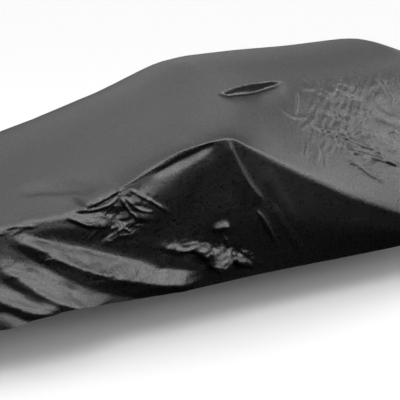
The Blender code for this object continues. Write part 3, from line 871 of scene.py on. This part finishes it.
flat_places = np.stack([across_lengths(places_on_cloth), point_along], axis=-1)
sheet_mesh = cloth_mesh("draped_cloth", cloth - HELD_AT, flat_places, crumple_strength(cloth))
print(len(sheet_mesh.polygons), "faces; cloth reaches", np.round(flat_places.min(0), 2), "to",
      np.round(flat_places.max(0), 2), "m")

# %% [markdown]
# ## Small crumples by Geometry Nodes
#
# Between the written folds the real cloth is never quite smooth. Writing hundreds of dimples by hand
# would be dull, so a small node tree does it: a noise field pushes each point along its normal, by
# a height that the stored crumple strength scales. The tree's inputs are named, and the noise has a
# fixed seed, so the same cloth comes out each time.

# %% Helpers that write a node tree
def add_node(tree, kind, **inputs):
    """A new node with its inputs set by name."""
    node = tree.nodes.new(kind)
    for name, value in inputs.items():
        node.inputs[name.replace("_", " ")].default_value = value
    return node


def joined(tree, operation, first, second):
    """Two values joined by one sum, difference or product; the second may be a plain number."""
    node = tree.nodes.new("ShaderNodeMath")
    node.operation = operation
    tree.links.new(first, node.inputs[0])
    if isinstance(second, float):
        node.inputs[1].default_value = second
    else:
        tree.links.new(second, node.inputs[1])
    return node.outputs[0]


# %% Crumple tree
CRUMPLE_SIZES = {"Crumple Height": 0.008, "Crumples per Metre": 8.0, "Seed": 3.0}
NOISE_MIDDLE = 0.5


def crumple_tree():
    """Push points along their normals by noise, scaled by the crumple strength."""
    tree = bpy.data.node_groups.new("cloth_crumples", "GeometryNodeTree")
    face = tree.interface
    face.new_socket("Cloth", in_out="INPUT", socket_type="NodeSocketGeometry")
    for name, default in CRUMPLE_SIZES.items():
        socket = face.new_socket(name, in_out="INPUT", socket_type="NodeSocketFloat")
        socket.default_value = default
    face.new_socket("Material", in_out="INPUT", socket_type="NodeSocketMaterial")
    face.new_socket("Cloth", in_out="OUTPUT", socket_type="NodeSocketGeometry")
    entry = tree.nodes.new("NodeGroupInput")
    noise = add_node(tree, "ShaderNodeTexNoise", Detail=2.0, Roughness=0.55)
    noise.noise_dimensions = "4D"
    strength = add_node(tree, "GeometryNodeInputNamedAttribute", Name="crumple")
    strength.data_type = "FLOAT"
    bump = joined(tree, "SUBTRACT", noise.outputs["Fac"], NOISE_MIDDLE)
    height = joined(tree, "MULTIPLY", bump, entry.outputs["Crumple Height"])
    scaled = joined(tree, "MULTIPLY", height, strength.outputs["Attribute"])
    normal = tree.nodes.new("GeometryNodeInputNormal")
    push = tree.nodes.new("ShaderNodeVectorMath")
    push.operation = "SCALE"
    move = tree.nodes.new("GeometryNodeSetPosition")
    realize = tree.nodes.new("GeometryNodeRealizeInstances")
    paint = tree.nodes.new("GeometryNodeSetMaterial")
    leave = tree.nodes.new("NodeGroupOutput")
    for output, into in (
        (entry.outputs["Crumples per Metre"], noise.inputs["Scale"]),
        (entry.outputs["Seed"], noise.inputs["W"]),
        (normal.outputs[0], push.inputs[0]),
        (scaled, push.inputs["Scale"]),
        (entry.outputs["Cloth"], move.inputs["Geometry"]),
        (push.outputs[0], move.inputs["Offset"]),
        (move.outputs[0], realize.inputs[0]),
        (realize.outputs[0], paint.inputs["Geometry"]),
        (entry.outputs["Material"], paint.inputs["Material"]),
        (paint.outputs[0], leave.inputs[0]),
    ):
        tree.links.new(output, into)
    return tree


crumples = crumple_tree()
print("crumple tree with", len(crumples.nodes), "nodes")

# %% [markdown]
# ## The cloth's finish
#
# The cover is a dark grey woven cloth with a thin coating. Dark cloth under soft light is mostly
# gloss: its own colour is almost black, and what we see is a broad, dull reflection of the light
# above. So the base colour is low and the roughness middling. One noise drives the colour, the
# roughness and a bump together, because each grain of the coating is a little higher, paler and
# duller at once. Fine creases and the weave are bump too: they are thinner than a mesh can hold.

# %% Values of the cloth's finish
# From the bottom of a grain to its top: the noise's value, and the colour.
GRAIN_COLOURS = ((0.32, (0.0010, 0.0010, 0.0011)), (0.68, (0.0110, 0.0111, 0.0115)))
GRAIN_REACH = (0.3, 0.7)
GRAIN_ROUGHNESS = (0.21, 0.41)
GRAIN_SCALE = 80.0
GRAIN_DEPTH = 0.0017
# Two layers of fine creases: how many to a metre, how high, and which way they are drawn out.
FINE_CREASES = ((16.0, 0.0018, 0.6), (42.0, 0.0012, -0.5))
CREASE_STRETCH = (1.0, 1.0, 0.45)
# A wave of this scale repeats every two millimetres.
WEAVE_SCALE = 160.0
WEAVE_DEPTH = 0.0004
WEAVE_STRENGTH = 0.5
print("grains", GRAIN_DEPTH * 1000.0, "mm deep, weave", WEAVE_DEPTH * 1000.0, "mm deep")


# %% Helpers that write the finish
def stretched(tree, value, old_range, new_range):
    """A value read from one range to another, and held at the ends of it."""
    node = add_node(
        tree, "ShaderNodeMapRange",
        From_Min=old_range[0], From_Max=old_range[1], To_Min=new_range[0], To_Max=new_range[1],
    )
    tree.links.new(value, node.inputs["Value"])
    return node.outputs["Result"]


def bumped(tree, height, normal, depth, strength=1.0):
    """The normal after one more bump, whose depth is in metres."""
    bump = add_node(tree, "ShaderNodeBump", Strength=strength, Distance=depth)
    tree.links.new(height, bump.inputs["Height"])
    if normal is not None:
        tree.links.new(normal, bump.inputs["Normal"])
    return bump.outputs["Normal"]


# %% Grain, fine creases and weave
def grain_finish(tree, surface, place):
    """Colour, roughness and bump of the coating's grain; its normal is for the next bump."""
    grain = add_node(tree, "ShaderNodeTexNoise", Scale=GRAIN_SCALE, Detail=4.0, Roughness=0.75)
    tree.links.new(place.outputs["Object"], grain.inputs["Vector"])
    colour = tree.nodes.new("ShaderNodeValToRGB")
    for element, (value, shade) in zip(colour.color_ramp.elements, GRAIN_COLOURS):
        element.position = value
        element.color = (*shade, 1.0)
    tree.links.new(grain.outputs["Fac"], colour.inputs["Fac"])
    tree.links.new(colour.outputs["Color"], surface.inputs["Base Color"])
    gloss = stretched(tree, grain.outputs["Fac"], GRAIN_REACH, GRAIN_ROUGHNESS)
    tree.links.new(gloss, surface.inputs["Roughness"])
    return bumped(tree, grain.outputs["Fac"], None, GRAIN_DEPTH)


def crease_height(tree, place, strength, scale, turn):
    """One layer of fine creases, drawn out to one side and high where the cloth is crumpled."""
    drawn = add_node(tree, "ShaderNodeMapping", Rotation=(0.0, turn, 0.0), Scale=CREASE_STRETCH)
    ridges = add_node(tree, "ShaderNodeTexNoise", Scale=scale, Detail=3.0, Roughness=0.55)
    ridges.noise_type = "RIDGED_MULTIFRACTAL"
    tree.links.new(place.outputs["Object"], drawn.inputs["Vector"])
    tree.links.new(drawn.outputs["Vector"], ridges.inputs["Vector"])
    return joined(tree, "MULTIPLY", ridges.outputs["Fac"], strength.outputs["Fac"])


def weave_height(tree, place):
    """Threads along and across the flat cloth, high where two crests meet."""
    threads = []
    for axis in ("X", "Y"):
        wave = add_node(tree, "ShaderNodeTexWave", Scale=WEAVE_SCALE, Distortion=0.0)
        wave.bands_direction = axis
        tree.links.new(place.outputs["UV"], wave.inputs["Vector"])
        threads.append(wave.outputs["Fac"])
    return joined(tree, "MULTIPLY", *threads)


# %% Cloth material
def cloth_material():
    """Dark grey coated cloth: broad soft gloss, fine creases where it is crumpled, and a weave."""
    material = bpy.data.materials.new("coated_dark_cloth")
    material.use_nodes = True
    tree = material.node_tree
    surface = tree.nodes["Principled BSDF"]
    surface.inputs["Specular IOR Level"].default_value = 1.0
    place = tree.nodes.new("ShaderNodeTexCoord")
    strength = tree.nodes.new("ShaderNodeAttribute")
    strength.attribute_name = "crumple"
    normal = grain_finish(tree, surface, place)
    for scale, height, turn in FINE_CREASES:
        normal = bumped(tree, crease_height(tree, place, strength, scale, turn), normal, height)
    normal = bumped(tree, weave_height(tree, place), normal, WEAVE_DEPTH, WEAVE_STRENGTH)
    tree.links.new(normal, surface.inputs["Normal"])
    return material


dark_cloth = cloth_material()
print("cloth material with", len(dark_cloth.node_tree.nodes), "nodes")

# %% [markdown]
# ## The finished piece
#
# The node tree's result is copied to a plain mesh, so that the piece carries no live tree. Solidify
# could give the sheet a wall, but real cloth is thinner than any wall that would show from here, so
# it stays one face thick.

# %% The cover
def set_tree_input(modifier, name, value):
    """Set a Geometry Nodes input by the identifier behind its name."""
    for item in modifier.node_group.interface.items_tree:
        if item.item_type == "SOCKET" and item.in_out == "INPUT" and item.name == name:
            modifier[item.identifier] = value
            return
    raise KeyError(name)


def evaluated_copy(piece):
    """The piece's mesh with its modifiers done."""
    graph = bpy.context.evaluated_depsgraph_get()
    return bpy.data.meshes.new_from_object(piece.evaluated_get(graph), depsgraph=graph)


cover = bpy.data.objects.new("draped_cover", sheet_mesh)
scene.collection.objects.link(cover)
crumpling = cover.modifiers.new("crumples", "NODES")
crumpling.node_group = crumples
for input_name, input_value in (*CRUMPLE_SIZES.items(), ("Material", dark_cloth)):
    set_tree_input(crumpling, input_name, input_value)
crumpled_mesh = evaluated_copy(cover)
cover.modifiers.remove(crumpling)
cover.data = crumpled_mesh
triangle_count = sum(len(face.vertices) - 2 for face in crumpled_mesh.polygons)
print("cover of", triangle_count, "triangles")

# %% [markdown]
# ## The studio
#
# A plain pale floor under a white dome, like a tent for photographing large objects. Dark glossy
# cloth shows its surroundings more than itself: a face that leans up mirrors the white dome and
# turns grey, a face that hangs straight or leans in mirrors what is below it. The floor is kept out
# of those reflections, so the hanging sides stay as deep as they are outdoors over dark ground. Soft
# panels brighten parts of the dome and flags darken others, as boards do in a photographer's studio:
# each is a patch round one direction, and lights or shades the faces that mirror it.

# %% The dome
# The height, as a sine, at which the dome begins and at which it is full.
HORIZON = (0.05, 0.17)
# The dome's middle brightness, and how much it gains towards one direction and loses away from it.
SKY_LEVEL = 0.62
SKY_SLOPE = 0.28
SKY_DIRECTION = (0.62, -0.50, 0.60)
STRAIGHT_UP = (0.0, 0.0, 1.0)
# Panels and flags: where each stands, the cosines to it at which it begins and is full, and how much
# light it adds or takes.
PANELS = {
    "near_panel": ((0.42, -0.83, 0.37), (0.95, 0.995), 7.2),
    "rear_panel": ((0.88, 0.22, 0.42), (0.92, 0.99), 1.6),
    "rear_strip": ((0.97, -0.12, 0.18), (0.93, 0.99), 2.6),
    "top_flag": ((0.72, 0.50, 0.48), (0.88, 0.97), -0.40),
    "window_flag": ((0.62, -0.10, 0.77), (0.86, 0.98), -0.50),
    "upper_window_flag": ((0.68, 0.18, 0.71), (0.92, 0.99), -0.45),
    "belt_flag": ((0.68, -0.56, 0.48), (0.93, 0.995), -0.50),
    "high_panel": ((0.15, 0.15, 0.98), (0.80, 0.99), 1.0),
}


def world_glow(tree, direction, aim, cosines, brightness):
    """Light that changes between two brightnesses as a direction turns towards the aim."""
    facing = tree.nodes.new("ShaderNodeVectorMath")
    facing.operation = "DOT_PRODUCT"
    facing.inputs[1].default_value = aim
    tree.links.new(direction, facing.inputs[0])
    return stretched(tree, facing.outputs["Value"], cosines, brightness)


def dome_world():
    """A white dome above dark ground, with its panels and flags."""
    world = bpy.data.worlds.new("white_dome")
    world.use_nodes = True
    tree = world.node_tree
    background = tree.nodes["Background"]
    background.inputs["Color"].default_value = (1.0, 1.0, 1.0, 1.0)
    direction = tree.nodes.new("ShaderNodeTexCoord").outputs["Generated"]
    sky = (SKY_LEVEL - SKY_SLOPE, SKY_LEVEL + SKY_SLOPE)
    total = world_glow(tree, direction, SKY_DIRECTION, (-1.0, 1.0), sky)
    for aim, reach, power in PANELS.values():
        total = joined(tree, "ADD", total, world_glow(tree, direction, aim, reach, (0.0, power)))
    above = world_glow(tree, direction, STRAIGHT_UP, HORIZON, (0.0, 1.0))
    tree.links.new(joined(tree, "MULTIPLY", total, above), background.inputs["Strength"])
    return world


scene.world = dome_world()
print(len(PANELS), "panels and flags in the dome")

# %% Floor and soft light
FLOOR_Z = -HELD_AT[2]
FLOOR_SIZE = 240.0
FLOOR_COLOUR = (0.94, 0.94, 0.94)
FLOOR_ROUGHNESS = 0.9
SOFTBOX_PLACE = (-3.0, -5.5, 6.0)
SOFTBOX_AIM = (-0.8, -0.8, -0.6)
SOFTBOX_SIZE = 4.0
SOFTBOX_POWER = 250.0


def stage_material(name, colour, roughness):
    """A plain matt finish for the floor."""
    material = bpy.data.materials.new(name)
    material.use_nodes = True
    surface = material.node_tree.nodes["Principled BSDF"]
    surface.inputs["Base Color"].default_value = (*colour, 1.0)
    surface.inputs["Roughness"].default_value = roughness
    surface.inputs["Specular IOR Level"].default_value = 0.0
    return material


def area_light(name, place, aim, size, power):
    """A square soft light that points from its place to its aim."""
    data = bpy.data.lights.new(name, "AREA")
    data.shape = "SQUARE"
    data.size = size
    data.energy = power
    light = bpy.data.objects.new(name, data)
    scene.collection.objects.link(light)
    back = np.array(place, float) - np.array(aim, float)
    back /= np.linalg.norm(back)
    right = np.cross((0.0, 1.0, 0.0), back)
    right /= np.linalg.norm(right)
    turn = Matrix((right, np.cross(back, right), back)).transposed()
    light.matrix_world = Matrix.Translation(place) @ turn.to_4x4()


floor_mesh = bpy.data.meshes.new("studio_floor")
half = FLOOR_SIZE / 2.0
floor_corners = [(x * half, y * half, FLOOR_Z) for x, y in ((-1, -1), (1, -1), (1, 1), (-1, 1))]
floor_mesh.from_pydata(floor_corners, [], [(0, 1, 2, 3)])
floor_mesh.materials.append(stage_material("pale_floor", FLOOR_COLOUR, FLOOR_ROUGHNESS))
floor = bpy.data.objects.new("studio_floor", floor_mesh)
scene.collection.objects.link(floor)
floor.visible_diffuse = False
floor.visible_glossy = False
area_light("camera_side_softbox", SOFTBOX_PLACE, SOFTBOX_AIM, SOFTBOX_SIZE, SOFTBOX_POWER)
scene.view_settings.view_transform = "Standard"
print("floor at", FLOOR_Z)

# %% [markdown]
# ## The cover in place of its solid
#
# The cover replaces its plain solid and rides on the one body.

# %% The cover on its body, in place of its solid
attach(cover, "root")
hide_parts("cover_cloth")
